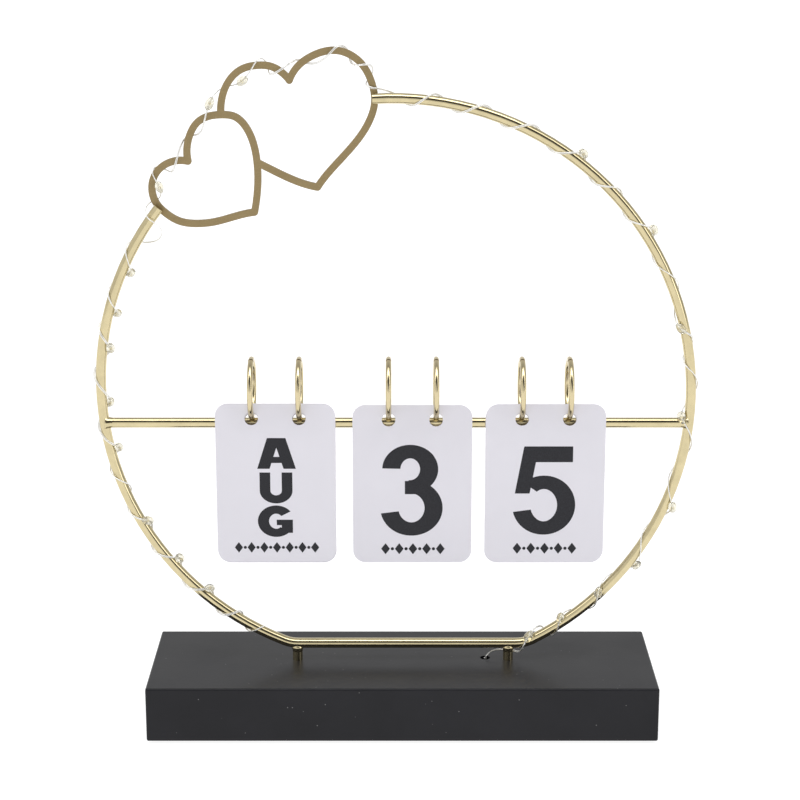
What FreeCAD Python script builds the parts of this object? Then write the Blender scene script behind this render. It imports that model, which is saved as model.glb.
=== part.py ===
import FreeCAD
import Part
import math
import os
from FreeCAD import Vector

# Flip desk calendar: a black wooden base carries a bent metal hoop on two studs.
# A crossbar inside the hoop carries six rings, and three packs of cards hang on them.
# Two joined hearts fill the gap at the upper left of the hoop.  A string of small
# lights winds round the hoop and the hearts, fed from a battery box under the base.
# X runs to the right, Y to the back, Z up; the origin is on the desk, under the middle.

# ---- base ----
BASE_LENGTH = 200.0
BASE_DEPTH = 62.0
BASE_TOP = 23.0
BASE_EDGE_RADIUS = 0.8
FELT_THICKNESS = 1.0
FELT_INSET = 3.0
FELT_WINDOW_GAP = 1.0

# ---- hoop: heights are above the top of the base ----
ROD_DIAMETER = 4.0
HOOP_RADIUS = 113.8
HOOP_CENTRE_X = -3.2
CHORD_HEIGHT = 7.0
CHORD_HALF_LENGTH = 41.4
CHORD_BEND_RADIUS = 14.0
RIGHT_SIDE_DROP = 4.0
UPPER_RIGHT_EXTRA_RADIUS = 2.2
LOWER_RIGHT_EXTRA_RADIUS = 0.2
RIGHT_SIDE_PULL = 1.6
CROSSBAR_HEIGHT = 98.8

# ---- heart plate: points are from the heart centre, the height above the hoop centre ----
PLATE_THICKNESS = 1.5
PLATE_STROKE = 2.7
HEART_OFFSET_X = -42.6
HEART_OFFSET_HEIGHT = 93.2
RIGHT_ROD_END = 34.5
LEFT_ROD_END = -22.7

# ---- posts and their fastenings ----
POST_INSET_LEFT = 2.6
POST_INSET_RIGHT = 6.6
POST_DIAMETER = 4.0
STUD_DIAMETER = 3.0
STUD_HOLE_CLEARANCE = 0.2
COUNTERBORE_DIAMETER = 9.0
COUNTERBORE_DEPTH = 9.0
WASHER_DIAMETER = 7.0
WASHER_THICKNESS = 0.6
NUT_WIDTH = 5.5
NUT_HEIGHT = 2.4
STUD_END_BEYOND_NUT = 1.0

# ---- rings ----
RING_WIRE = 2.2
RING_OUTER_DIAMETER = 24.5
RING_SEAT = 0.2
RING_GAP = 0.8
RING_GAP_ANGLE = 12.0

# ---- cards ----
CARD_WIDTH = 46.6
CARD_HEIGHT = 64.5
CARD_THICKNESS = 0.25
CARD_PITCH = 0.3
CARD_CORNER = 5.0
CARD_BAR_GAP = 0.2
HOLE_DIAMETER = 5.3
HOLE_SPACING = 18.5
HOLE_DROP = 6.0
HANG_CLEARANCE = 0.08
MIDDLE_PACK_X = 3.9
LEFT_PACK_GAP = 6.6
RIGHT_PACK_GAP = 5.2

# ---- battery box under the base ----
POCKET_LENGTH = 58.0
POCKET_DEPTH = 32.0
CASE_GAP = 0.4
CASE_WALL = 1.5
CASE_BOTTOM = 2.0
CELL_DIAMETER = 20.0
CELL_THICKNESS = 3.2
CELL_GAP = 1.5
CELL_START = 2.6
LID_THICKNESS = 1.5
LID_GAP = 0.3
SPRING_HEIGHT = 1.0
CONTACT_BEYOND_CELL = 3.0
POSITIVE_CONTACT_REACH = 9.0
CONTACT_THICKNESS = 0.3
CONTACT_WIDTH = 5.0
SWITCH_LENGTH = 8.0
SWITCH_WIDTH = 6.0
SWITCH_TRAVEL = 3.6
SWITCH_TO_WALL = 0.4
SWITCH_TO_LID = 0.5
SWITCH_SLOT_DEPTH = 1.6
KNOB_SEAT_DEPTH = 1.4
KNOB_ABOVE_FELT_LINE = 0.3
KNOB_SIZE = 2.6
KNOB_GAP = 0.2
CASE_SCREW_DIAMETER = 2.0
CASE_SCREW_HEAD = 4.4
CASE_SCREW_HEAD_HEIGHT = 1.4
CASE_SCREW_BITE = 7.0
SCREW_GAP_TO_END = 0.6
SCREW_GAP_TO_SIDE = 0.4
LID_SCREW_DIAMETER = 2.0
LID_SCREW_HEAD = 3.8
LID_SCREW_HEAD_HEIGHT = 0.8
BOSS_DIAMETER = 4.6

# ---- string lights ----
WIRE_HOLE_X = 33.4
WIRE_HOLE_Y = 1.5
WIRE_HOLE_DIAMETER = 4.0
LEAD_DIAMETER = 1.0
WINDING_THICKNESS = 0.9
WINDING_STOP = 3.0
BEAD_DIAMETER = 3.6
BEAD_LENGTH = 5.0
BEAD_SINK = 0.5

X_AXIS = Vector(1, 0, 0)
Y_AXIS = Vector(0, 1, 0)
Z_AXIS = Vector(0, 0, 1)
ROD = ROD_DIAMETER / 2
BLOCK_BOTTOM = FELT_THICKNESS


def save(name, shape):
    """Write one node: a single solid, or a group of separate ones."""
    if not shape.isValid():
        raise ValueError(name + " is not a valid shape")
    print(name, "solids", len(shape.Solids), "volume", round(shape.Volume, 2))
    shape.exportStep("parts/" + name + ".step")


def box(x0, x1, y0, y1, z0, z1):
    return Part.makeBox(x1 - x0, y1 - y0, z1 - z0, Vector(x0, y0, z0))


def cylinder(x, y, z0, z1, diameter):
    return Part.makeCylinder(diameter / 2, z1 - z0, Vector(x, y, z0), Z_AXIS)


def tube(path, diameter):
    """Carry a disc along a wire of runs and arcs."""
    first = path.OrderedEdges[0]
    start = path.OrderedVertexes[0].Point
    along = first.tangentAt(first.FirstParameter)
    if (first.valueAt(first.FirstParameter) - start).Length > 1e-6:
        along = first.tangentAt(first.LastParameter) * -1
    disc = Part.Wire(Part.makeCircle(diameter / 2, start, along))
    return path.makePipeShell([disc], True, True)


def routed_wire(name, points, bend_share=0.45):
    """Straight runs through the points, joined by arcs as large as the runs allow."""
    edges = []
    at = points[0]
    radii = []
    for before, corner, after in zip(points, points[1:], points[2:]):
        back = (before - corner).normalize()
        ahead = (after - corner).normalize()
        cut = bend_share * min((before - corner).Length, (after - corner).Length)
        turn = math.pi - back.getAngle(ahead)
        radii.append(cut / math.tan(turn / 2))
        arc_start = corner + back * cut
        arc_end = corner + ahead * cut
        middle_way = (back + ahead).normalize()
        to_centre = math.hypot(cut, radii[-1])
        arc_middle = corner + middle_way * (to_centre - radii[-1])
        edges.append(Part.LineSegment(at, arc_start).toShape())
        edges.append(Part.Arc(arc_start, arc_middle, arc_end).toShape())
        at = arc_end
    edges.append(Part.LineSegment(at, points[-1]).toShape())
    print(name, "least bend radius", round(min(radii), 2))
    return Part.Wire(edges)


# ---- hoop geometry, in the plane y = 0 ----

def hoop_point(centre, radius, degrees):
    angle = math.radians(degrees)
    return Vector(centre[0] + radius * math.cos(angle), 0, centre[1] + radius * math.sin(angle))


CHORD_Z = BASE_TOP + CHORD_HEIGHT
CENTRE_RISE = math.sqrt(HOOP_RADIUS ** 2 - CHORD_HALF_LENGTH ** 2)
LEFT_CENTRE = (HOOP_CENTRE_X, CHORD_Z + CENTRE_RISE)
RIGHT_MOST_X = HOOP_CENTRE_X + HOOP_RADIUS + RIGHT_SIDE_PULL
RIGHT_MOST_Z = LEFT_CENTRE[1] - RIGHT_SIDE_DROP
UPPER_RADIUS = HOOP_RADIUS + UPPER_RIGHT_EXTRA_RADIUS
LOWER_RADIUS = HOOP_RADIUS + LOWER_RIGHT_EXTRA_RADIUS
UPPER_CENTRE = (RIGHT_MOST_X - UPPER_RADIUS, RIGHT_MOST_Z)
LOWER_CENTRE = (RIGHT_MOST_X - LOWER_RADIUS, RIGHT_MOST_Z)
HEART_X = HOOP_CENTRE_X + HEART_OFFSET_X
HEART_Z = LEFT_CENTRE[1] + HEART_OFFSET_HEIGHT
CROSSBAR_Z = BASE_TOP + CROSSBAR_HEIGHT


def chord_bend(centre, radius, side):
    """Centre of the bend between the straight foot and one side arc, and its two ends."""
    reach = radius - CHORD_BEND_RADIUS
    rise = centre[1] - CHORD_Z - CHORD_BEND_RADIUS
    bend_x = centre[0] + side * math.sqrt(reach ** 2 - rise ** 2)
    on_chord = Vector(bend_x, 0, CHORD_Z)
    degrees = math.degrees(math.atan2(CHORD_Z + CHORD_BEND_RADIUS - centre[1], bend_x - centre[0]))
    return on_chord, hoop_point(centre, radius, degrees), degrees, (bend_x, CHORD_Z + CHORD_BEND_RADIUS)


LEFT_ON_CHORD, LEFT_ON_ARC, LEFT_START, LEFT_BEND = chord_bend(LEFT_CENTRE, HOOP_RADIUS, -1)
RIGHT_ON_CHORD, RIGHT_ON_ARC, RIGHT_START, RIGHT_BEND = chord_bend(LOWER_CENTRE, LOWER_RADIUS, 1)
RIGHT_END = math.degrees(math.acos((HEART_X + RIGHT_ROD_END - UPPER_CENTRE[0]) / UPPER_RADIUS))
LEFT_END = 180 - math.degrees(math.asin((HEART_Z + LEFT_ROD_END - LEFT_CENTRE[1]) / HOOP_RADIUS))


def arc_edge(centre, radius, from_degrees, to_degrees):
    middle = (from_degrees + to_degrees) / 2
    ends = [hoop_point(centre, radius, degrees) for degrees in (from_degrees, middle, to_degrees)]
    return Part.Arc(*ends).toShape()


def bend_edge(centre, start, end):
    """The small arc of a chord bend, from one end to the other by its lowest side."""
    middle = (start + end) * 0.5 - Vector(centre[0], 0, centre[1])
    return Part.Arc(start, Vector(centre[0], 0, centre[1]) + middle.normalize() * CHORD_BEND_RADIUS,
                    end).toShape()


def right_arcs(stop=0):
    """The right side of the hoop from the top end, or short of it, down to the bend."""
    return [arc_edge(UPPER_CENTRE, UPPER_RADIUS, RIGHT_END - stop, 0),
            arc_edge(LOWER_CENTRE, LOWER_RADIUS, 0, RIGHT_START + stop)]


def left_arc(stop=0):
    """The left side of the hoop from the bend up to its end at the small heart, or short of it."""
    return arc_edge(LEFT_CENTRE, HOOP_RADIUS, LEFT_START + 360 - stop, LEFT_END + stop)


def make_hoop():
    edges = right_arcs()
    edges.append(bend_edge(RIGHT_BEND, RIGHT_ON_ARC, RIGHT_ON_CHORD))
    edges.append(Part.LineSegment(RIGHT_ON_CHORD, LEFT_ON_CHORD).toShape())
    edges.append(bend_edge(LEFT_BEND, LEFT_ON_CHORD, LEFT_ON_ARC))
    edges.append(left_arc())
    return tube(Part.Wire(edges), ROD_DIAMETER)


def make_crossbar(hoop):
    """A rod between the two sides of the hoop, its ends shaped to the hoop's rod."""
    rise = CROSSBAR_Z - LEFT_CENTRE[1]
    left = LEFT_CENTRE[0] - math.sqrt(HOOP_RADIUS ** 2 - rise ** 2)
    rise = CROSSBAR_Z - LOWER_CENTRE[1]
    right = LOWER_CENTRE[0] + math.sqrt(LOWER_RADIUS ** 2 - rise ** 2)
    rod = Part.makeCylinder(ROD, right - left, Vector(left, 0, CROSSBAR_Z), X_AXIS)
    return largest(rod.cut(hoop))


def largest(shape):
    return max(shape.Solids, key=lambda solid: solid.Volume)


# ---- heart plate ----
# Each stretch is a smooth curve through a few points of the stroke's middle line.
LARGE_RIGHT = [(3.4, 25.2), (7.3, 31.1), (12.3, 34.4), (21.1, 36.3), (29.7, 32.2), (34.7, 22.9),
               (35.4, 17.6), (33.8, 11.0), (30.2, 4.6), (13.6, -15.2)]
LARGE_FOOT = [(13.6, -15.2), (6.9, -13.4), (1.4, -11.1), (-9.0, -5.9)]
LARGE_LEFT = [(3.4, 25.2), (0.0, 28.6), (-3.6, 30.4), (-8.0, 30.8), (-14.5, 29.3), (-19.6, 24.5),
              (-21.8, 19.5), (-22.6, 12.4)]
SMALL_RIGHT = [(-35.4, -5.3), (-35.7, -0.6), (-34.5, 4.6), (-31.3, 9.6), (-27.6, 11.6), (-22.3, 12.3),
               (-17.4, 11.6), (-13.4, 7.9), (-10.7, 2.1), (-9.3, -5.2), (-9.2, -15.4), (-10.5, -24.8)]
SMALL_LEFT = [(-10.5, -24.8), (-18.6, -26.6), (-25.6, -28.5), (-32.7, -29.2), (-39.4, -28.2),
              (-44.6, -25.0), (-48.1, -21.0), (-49.4, -15.8), (-48.6, -11.6), (-45.6, -7.6),
              (-41.6, -5.5), (-35.4, -5.3)]
PLATE_FRONT = ROD


def heart_curve(points):
    curve = Part.BSplineCurve()
    curve.interpolate([Vector(HEART_X + x, 0, HEART_Z + z) for x, z in points])
    return curve


def heart_stretch(points, stroke, front, thickness, round_ends=True):
    """A flat band of constant width along a curve, with round ends."""
    curve = heart_curve(points)
    steps = 4 * len(points)
    sides = [[], []]
    for step in range(steps + 1):
        share = curve.FirstParameter + (curve.LastParameter - curve.FirstParameter) * step / steps
        at = curve.value(share)
        along = curve.tangent(share)[0]
        across = Vector(-along.z, 0, along.x) * (stroke / 2)
        sides[0].append(at + across)
        sides[1].append(at - across)
    edges = [Part.LineSegment(sides[0][0], sides[1][0]).toShape(),
             Part.LineSegment(sides[0][-1], sides[1][-1]).toShape()]
    for side in sides:
        line = Part.BSplineCurve()
        line.interpolate(side)
        edges.append(line.toShape())
    face = Part.Face(Part.Wire(Part.__sortEdges__(edges)))
    face.translate(Vector(0, front, 0))
    band = face.extrude(Vector(0, thickness, 0))
    if not round_ends:
        return band
    ends = []
    for at in (curve.value(curve.FirstParameter), curve.value(curve.LastParameter)):
        ends.append(Part.makeCylinder(stroke / 2, thickness, at + Vector(0, front, 0), Y_AXIS))
    return band.fuse(ends)


def make_heart_plate():
    stretches = [heart_stretch(points, PLATE_STROKE, PLATE_FRONT, PLATE_THICKNESS)
                 for points in (LARGE_RIGHT, LARGE_FOOT, LARGE_LEFT, SMALL_RIGHT, SMALL_LEFT)]
    return largest(stretches[0].fuse(stretches[1:]).removeSplitter())


# ---- posts, washers and nuts ----
POSTS = [("left", LEFT_CENTRE[0] - CHORD_HALF_LENGTH + POST_INSET_LEFT),
         ("right", LOWER_CENTRE[0] + math.sqrt(LOWER_RADIUS ** 2 - (LOWER_CENTRE[1] - CHORD_Z) ** 2)
          - POST_INSET_RIGHT)]
WASHER_TOP = BLOCK_BOTTOM + COUNTERBORE_DEPTH
NUT_TOP = WASHER_TOP - WASHER_THICKNESS
STUD_BOTTOM = NUT_TOP - NUT_HEIGHT - STUD_END_BEYOND_NUT


def make_post(x, hoop):
    post = cylinder(x, 0, BASE_TOP, CHORD_Z, POST_DIAMETER)
    stud = cylinder(x, 0, STUD_BOTTOM, BASE_TOP, STUD_DIAMETER)
    return largest(post.fuse(stud).removeSplitter().cut(hoop))


def make_nut(x):
    corners = []
    for corner in range(7):
        angle = math.radians(60 * corner)
        reach = NUT_WIDTH / math.sqrt(3)
        corners.append(Vector(x + reach * math.cos(angle), reach * math.sin(angle), NUT_TOP - NUT_HEIGHT))
    prism = Part.Face(Part.makePolygon(corners)).extrude(Vector(0, 0, NUT_HEIGHT))
    return prism.cut(cylinder(x, 0, NUT_TOP - NUT_HEIGHT, NUT_TOP, STUD_DIAMETER))


def make_washer(x):
    disc = cylinder(x, 0, NUT_TOP, WASHER_TOP, WASHER_DIAMETER)
    return disc.cut(cylinder(x, 0, NUT_TOP, WASHER_TOP, STUD_DIAMETER + STUD_HOLE_CLEARANCE))


# ---- rings and cards ----
RING_RADIUS = (RING_OUTER_DIAMETER - RING_WIRE) / 2
RING_Z = CROSSBAR_Z + ROD - RING_SEAT + RING_OUTER_DIAMETER / 2
PACKS = {"month": MIDDLE_PACK_X - CARD_WIDTH - LEFT_PACK_GAP,
         "tens": MIDDLE_PACK_X,
         "ones": MIDDLE_PACK_X + CARD_WIDTH + RIGHT_PACK_GAP}
MONTHS = ["jan", "feb", "mar", "apr", "may", "jun", "jul", "aug", "sep", "oct", "nov", "dec"]
# Names of the cards that hang before the bar, from the bar outwards: the last one is on show.
STACKS = {"month": MONTHS[6::-1] + MONTHS[:6:-1],
          "tens": list("2103"),
          "ones": list("4321098765")}


def make_ring(x, crossbar):
    """A wire ring with a narrow gap near its top, standing on the crossbar."""
    centre = Vector(x, 0, RING_Z)
    ring = Part.makeTorus(RING_RADIUS, RING_WIRE / 2, centre, X_AXIS)
    gap = box(x - RING_WIRE, x + RING_WIRE, -RING_GAP / 2, RING_GAP / 2,
              RING_Z + RING_RADIUS - RING_WIRE, RING_Z + RING_RADIUS + RING_WIRE)
    gap.rotate(centre, X_AXIS, RING_GAP_ANGLE)
    return largest(ring.cut(gap).cut(crossbar))


def card_place(index):
    """Distance of a card's middle before the hoop's plane, and the height of its hole centres.

    The card hangs on the ring's wire, so its hole's top edge lies just clear of the wire,
    which leans more the further out the card is.
    """
    y = ROD + CARD_BAR_GAP + CARD_THICKNESS / 2 + index * CARD_PITCH
    lean = math.asin(y / RING_RADIUS)
    wire_z = RING_Z - RING_RADIUS * math.cos(lean)
    leaning_wire = RING_WIRE / 2 / math.cos(lean) + CARD_THICKNESS / 2 * math.tan(lean)
    return y, wire_z - (HOLE_DIAMETER / 2 - leaning_wire - HANG_CLEARANCE)


def make_card(x, index):
    y, hole_z = card_place(index)
    top = hole_z + HOLE_DROP
    front = -y - CARD_THICKNESS / 2
    card = box(x - CARD_WIDTH / 2, x + CARD_WIDTH / 2, front, front + CARD_THICKNESS,
               top - CARD_HEIGHT, top)
    corners = [edge for edge in card.Edges
               if abs(edge.tangentAt(edge.FirstParameter).y) > 0.9]
    card = card.makeFillet(CARD_CORNER, corners)
    for hole_side in (-1, 1):
        hole_x = x + hole_side * HOLE_SPACING / 2
        card = card.cut(Part.makeCylinder(HOLE_DIAMETER / 2, CARD_THICKNESS + 2,
                                          Vector(hole_x, front - 1, hole_z), Y_AXIS))
    return card


# ---- battery box ----
CASE_X0 = -POCKET_LENGTH / 2 + CASE_GAP
CASE_X1 = POCKET_LENGTH / 2 - CASE_GAP
CASE_Y = POCKET_DEPTH / 2 - CASE_GAP
LID_TOP = CASE_BOTTOM + LID_THICKNESS
CELL_BOTTOM = LID_TOP + SPRING_HEIGHT
CELL_TOP = CELL_BOTTOM + CELL_THICKNESS
CASE_CEILING = CELL_TOP + SPRING_HEIGHT
CASE_TOP = CASE_CEILING + CASE_WALL
CELL_XS = [CASE_X0 + CASE_WALL + CELL_START + CELL_DIAMETER / 2,
           CASE_X0 + CASE_WALL + CELL_START + CELL_DIAMETER * 1.5 + CELL_GAP]
BOSS_X = sum(CELL_XS) / 2
BOSS_Y = CASE_Y - CASE_WALL - BOSS_DIAMETER / 2 + 0.3
SWITCH_X = CASE_X1 - CASE_WALL - SWITCH_LENGTH / 2 - SWITCH_TO_WALL
SWITCH_BOTTOM = LID_TOP + SWITCH_TO_LID
SCREW_FROM_END = CASE_WALL + CASE_SCREW_HEAD / 2 + SCREW_GAP_TO_END
SCREW_FROM_SIDE = CASE_WALL + CASE_SCREW_HEAD / 2 + SCREW_GAP_TO_SIDE
CASE_SCREWS = [(CASE_X0 + SCREW_FROM_END, CASE_Y - SCREW_FROM_SIDE),
               (CASE_X1 - SCREW_FROM_END, SCREW_FROM_SIDE - CASE_Y)]
LEAD_HEIGHT = (CASE_CEILING + LID_TOP) / 2


def make_case():
    case = box(CASE_X0, CASE_X1, -CASE_Y, CASE_Y, CASE_BOTTOM, CASE_TOP)
    case = case.cut(box(CASE_X0 + CASE_WALL, CASE_X1 - CASE_WALL, CASE_WALL - CASE_Y,
                        CASE_Y - CASE_WALL, CASE_BOTTOM, CASE_CEILING))
    boss = cylinder(BOSS_X, BOSS_Y, LID_TOP, CASE_CEILING, BOSS_DIAMETER)
    case = case.fuse(boss).removeSplitter()
    case = case.cut(cylinder(BOSS_X, BOSS_Y, LID_TOP, CASE_CEILING, LID_SCREW_DIAMETER))
    for x, y in CASE_SCREWS:
        case = case.cut(cylinder(x, y, CASE_CEILING, CASE_TOP, CASE_SCREW_DIAMETER))
    wire_way = Part.makeCylinder(LEAD_DIAMETER / 2, CASE_WALL + 2,
                                 Vector(CASE_X1 - CASE_WALL - 1, WIRE_HOLE_Y, LEAD_HEIGHT), X_AXIS)
    return largest(case.cut(wire_way))


def make_lid():
    lid = box(CASE_X0 + CASE_WALL + LID_GAP, CASE_X1 - CASE_WALL - LID_GAP,
              CASE_WALL + LID_GAP - CASE_Y, CASE_Y - CASE_WALL - LID_GAP, CASE_BOTTOM, LID_TOP)
    lid = lid.cut(cylinder(BOSS_X, BOSS_Y, CASE_BOTTOM, LID_TOP, LID_SCREW_DIAMETER))
    half = SWITCH_TRAVEL / 2 + KNOB_SIZE / 2 + KNOB_GAP
    return lid.cut(box(SWITCH_X - half, SWITCH_X + half, -KNOB_SIZE / 2 - KNOB_GAP,
                       KNOB_SIZE / 2 + KNOB_GAP, CASE_BOTTOM, LID_TOP))


def make_switch_body():
    half = SWITCH_TRAVEL / 2 + KNOB_SIZE / 2 + KNOB_GAP
    body = box(SWITCH_X - SWITCH_LENGTH / 2, SWITCH_X + SWITCH_LENGTH / 2, -SWITCH_WIDTH / 2,
               SWITCH_WIDTH / 2, SWITCH_BOTTOM, CASE_CEILING)
    return body.cut(box(SWITCH_X - half, SWITCH_X + half, -KNOB_SIZE / 2 - KNOB_GAP,
                        KNOB_SIZE / 2 + KNOB_GAP, SWITCH_BOTTOM, SWITCH_BOTTOM + SWITCH_SLOT_DEPTH))


def make_switch_knob():
    x = SWITCH_X - SWITCH_TRAVEL / 2
    return box(x - KNOB_SIZE / 2, x + KNOB_SIZE / 2, -KNOB_SIZE / 2, KNOB_SIZE / 2,
               BLOCK_BOTTOM + KNOB_ABOVE_FELT_LINE, SWITCH_BOTTOM + KNOB_SEAT_DEPTH)


def leaf_contact(x0, x1, centre_x, flat_z, touch_z):
    """A strip on a flat seat, with a raised pad that touches a cell."""
    strip = box(x0, x1, -CONTACT_WIDTH / 2, CONTACT_WIDTH / 2,
                min(flat_z, flat_z + CONTACT_THICKNESS * side_of(touch_z, flat_z)),
                max(flat_z, flat_z + CONTACT_THICKNESS * side_of(touch_z, flat_z)))
    pad = cylinder(centre_x, 0, min(flat_z, touch_z), max(flat_z, touch_z), CONTACT_WIDTH - 1)
    return strip.fuse(pad).removeSplitter()


def side_of(value, reference):
    return 1 if value > reference else -1


def make_lid_bridge():
    """One strip on the lid with a pad under each cell."""
    first = leaf_contact(CELL_XS[0] - CONTACT_BEYOND_CELL, CELL_XS[1] + CONTACT_BEYOND_CELL,
                         CELL_XS[0], LID_TOP, CELL_BOTTOM)
    return first.fuse(cylinder(CELL_XS[1], 0, LID_TOP, CELL_BOTTOM, CONTACT_WIDTH - 1)).removeSplitter()


def make_case_screw(x, y):
    head = cylinder(x, y, CASE_CEILING - CASE_SCREW_HEAD_HEIGHT, CASE_CEILING, CASE_SCREW_HEAD)
    shank = cylinder(x, y, CASE_CEILING, CASE_TOP + CASE_SCREW_BITE, CASE_SCREW_DIAMETER)
    return head.fuse(shank).removeSplitter()


def make_lid_screw():
    head = cylinder(BOSS_X, BOSS_Y, CASE_BOTTOM - LID_SCREW_HEAD_HEIGHT, CASE_BOTTOM, LID_SCREW_HEAD)
    shank = cylinder(BOSS_X, BOSS_Y, CASE_BOTTOM, CASE_CEILING - 1, LID_SCREW_DIAMETER)
    return head.fuse(shank).removeSplitter()


# ---- base ----

def make_base():
    block = box(-BASE_LENGTH / 2, BASE_LENGTH / 2, -BASE_DEPTH / 2, BASE_DEPTH / 2,
                BLOCK_BOTTOM, BASE_TOP)
    block = block.makeFillet(BASE_EDGE_RADIUS, block.Edges)
    tools = [box(-POCKET_LENGTH / 2, POCKET_LENGTH / 2, -POCKET_DEPTH / 2, POCKET_DEPTH / 2,
                 BLOCK_BOTTOM - 1, CASE_TOP)]
    for x, y in CASE_SCREWS:
        tools.append(cylinder(x, y, CASE_TOP, CASE_TOP + CASE_SCREW_BITE, CASE_SCREW_DIAMETER))
    for _, x in POSTS:
        tools.append(cylinder(x, 0, BLOCK_BOTTOM - 1, WASHER_TOP, COUNTERBORE_DIAMETER))
        tools.append(cylinder(x, 0, WASHER_TOP, BASE_TOP + 1, STUD_DIAMETER + STUD_HOLE_CLEARANCE))
    half = WIRE_HOLE_DIAMETER / 2
    tools.append(cylinder(WIRE_HOLE_X, WIRE_HOLE_Y, BLOCK_BOTTOM - 1, BASE_TOP + 1, WIRE_HOLE_DIAMETER))
    tools.append(box(POCKET_LENGTH / 2 - 1, WIRE_HOLE_X, WIRE_HOLE_Y - half, WIRE_HOLE_Y + half,
                     BLOCK_BOTTOM - 1, LEAD_HEIGHT + half))
    return largest(block.cut(tools))


def make_felt():
    """The felt sheet under the base, with a window for the battery box."""
    x = BASE_LENGTH / 2 - FELT_INSET
    y = BASE_DEPTH / 2 - FELT_INSET
    window_x = POCKET_LENGTH / 2 + FELT_WINDOW_GAP
    window_y = POCKET_DEPTH / 2 + FELT_WINDOW_GAP
    sheet = box(-x, x, -y, y, 0, FELT_THICKNESS)
    return sheet.cut(box(-window_x, window_x, -window_y, window_y, -1, FELT_THICKNESS + 1))


# ---- string lights ----

def sleeve(edges, cutters):
    """The outer shape of wire wound along a stretch of the hoop's rod."""
    winding = tube(Part.Wire(edges), ROD_DIAMETER + 2 * WINDING_THICKNESS)
    for cutter in cutters:
        winding = winding.cut(cutter)
    return largest(winding)


def make_heart_winding():
    """The wire wound along the upper parts of the hearts: a layer before the plate and one behind."""
    stroke = PLATE_STROKE + 2 * WINDING_THICKNESS
    layers = []
    for points in (LARGE_RIGHT[1:6], LARGE_LEFT[1:7], SMALL_RIGHT[1:5], SMALL_LEFT[6:11]):
        for front in (PLATE_FRONT - WINDING_THICKNESS, PLATE_FRONT + PLATE_THICKNESS):
            layers.append(heart_stretch(points, stroke, front, WINDING_THICKNESS, False))
    return Part.makeCompound(layers)


# Places of the light beads: degrees round each arc of the hoop, with 1 for the outer side of
# the rod and -1 for the inner side, and points of the hearts.
BEAD_TURN = {"upper": [(53, 1), (33.5, 1), (14.3, -1)],
             "lower": [(-4, -1), (-22, 1), (-36, 1), (-45, -1), (-54, -1)],
             "left": [(236, -1), (228, -1), (219.5, -1), (209, -1), (193, -1), (183, -1),
                      (171.7, -1), (164.7, -1), (156, -1)]}
HEART_BEADS = [(-15.0, 26.0), (-26.1, 15.9), (-45.0, -14.0)]


def make_bead(at, along):
    """A drop of clear resin, longer than wide, lying along the wire: a rod with round ends."""
    radius = BEAD_DIAMETER / 2
    straight = BEAD_LENGTH / 2 - radius
    slant = radius * math.sqrt(0.5)
    low, high = Vector(0, 0, -BEAD_LENGTH / 2), Vector(0, 0, BEAD_LENGTH / 2)
    side_low, side_high = Vector(radius, 0, -straight), Vector(radius, 0, straight)
    outline = [Part.Arc(low, Vector(slant, 0, -straight - slant), side_low).toShape(),
               Part.LineSegment(side_low, side_high).toShape(),
               Part.Arc(side_high, Vector(slant, 0, straight + slant), high).toShape(),
               Part.LineSegment(high, low).toShape()]
    drop = Part.Face(Part.Wire(outline)).revolve(Vector(0, 0, 0), Z_AXIS, 360)
    drop.Placement = FreeCAD.Placement(at, FreeCAD.Rotation(Z_AXIS, along))
    return drop


def make_beads(cutters):
    rise = ROD + WINDING_THICKNESS + BEAD_DIAMETER / 2 - BEAD_SINK
    rims = {"upper": (UPPER_CENTRE, UPPER_RADIUS), "lower": (LOWER_CENTRE, LOWER_RADIUS),
            "left": (LEFT_CENTRE, HOOP_RADIUS)}
    beads = []
    for rim, (centre, radius) in rims.items():
        for degrees, side in BEAD_TURN[rim]:
            at = hoop_point(centre, radius + side * rise, degrees)
            along = hoop_point((0, 0), 1, degrees + 90)
            beads.append(make_bead(at, along))
    for x, z in HEART_BEADS:
        at = Vector(HEART_X + x, PLATE_FRONT + PLATE_THICKNESS / 2, HEART_Z + z)
        beads.append(make_bead(at, X_AXIS))
    return Part.makeCompound([trimmed(bead, cutters) for bead in beads])


def trimmed(shape, cutters):
    """The largest piece of a shape that is left outside its neighbours."""
    for cutter in cutters:
        if shape.BoundBox.intersect(cutter.BoundBox):
            shape = shape.cut(cutter)
    return largest(shape)


LEAD_INSIDE = [Vector(CASE_X1 - CASE_WALL, WIRE_HOLE_Y, LEAD_HEIGHT),
               Vector(WIRE_HOLE_X, WIRE_HOLE_Y, LEAD_HEIGHT),
               Vector(WIRE_HOLE_X, WIRE_HOLE_Y, BASE_TOP)]
# The lead rises from its hole, passes behind the right post and under the rod, and runs up
# before the rod to where the winding starts.
LEAD_OUTSIDE = [Vector(33.4, 1.5, 23.0), Vector(34.8, 1.8, 25.1), Vector(37.5, 2.7, 26.0),
                Vector(41.0, 3.7, 25.8), Vector(44.4, 3.3, 25.5), Vector(46.6, 0.5, 25.5),
                Vector(48.0, -2.7, 26.7), Vector(50.2, -3.7, 29.3), Vector(53.6, -3.1, 32.2),
                Vector(57.48, -2.6, 34.65)]


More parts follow.
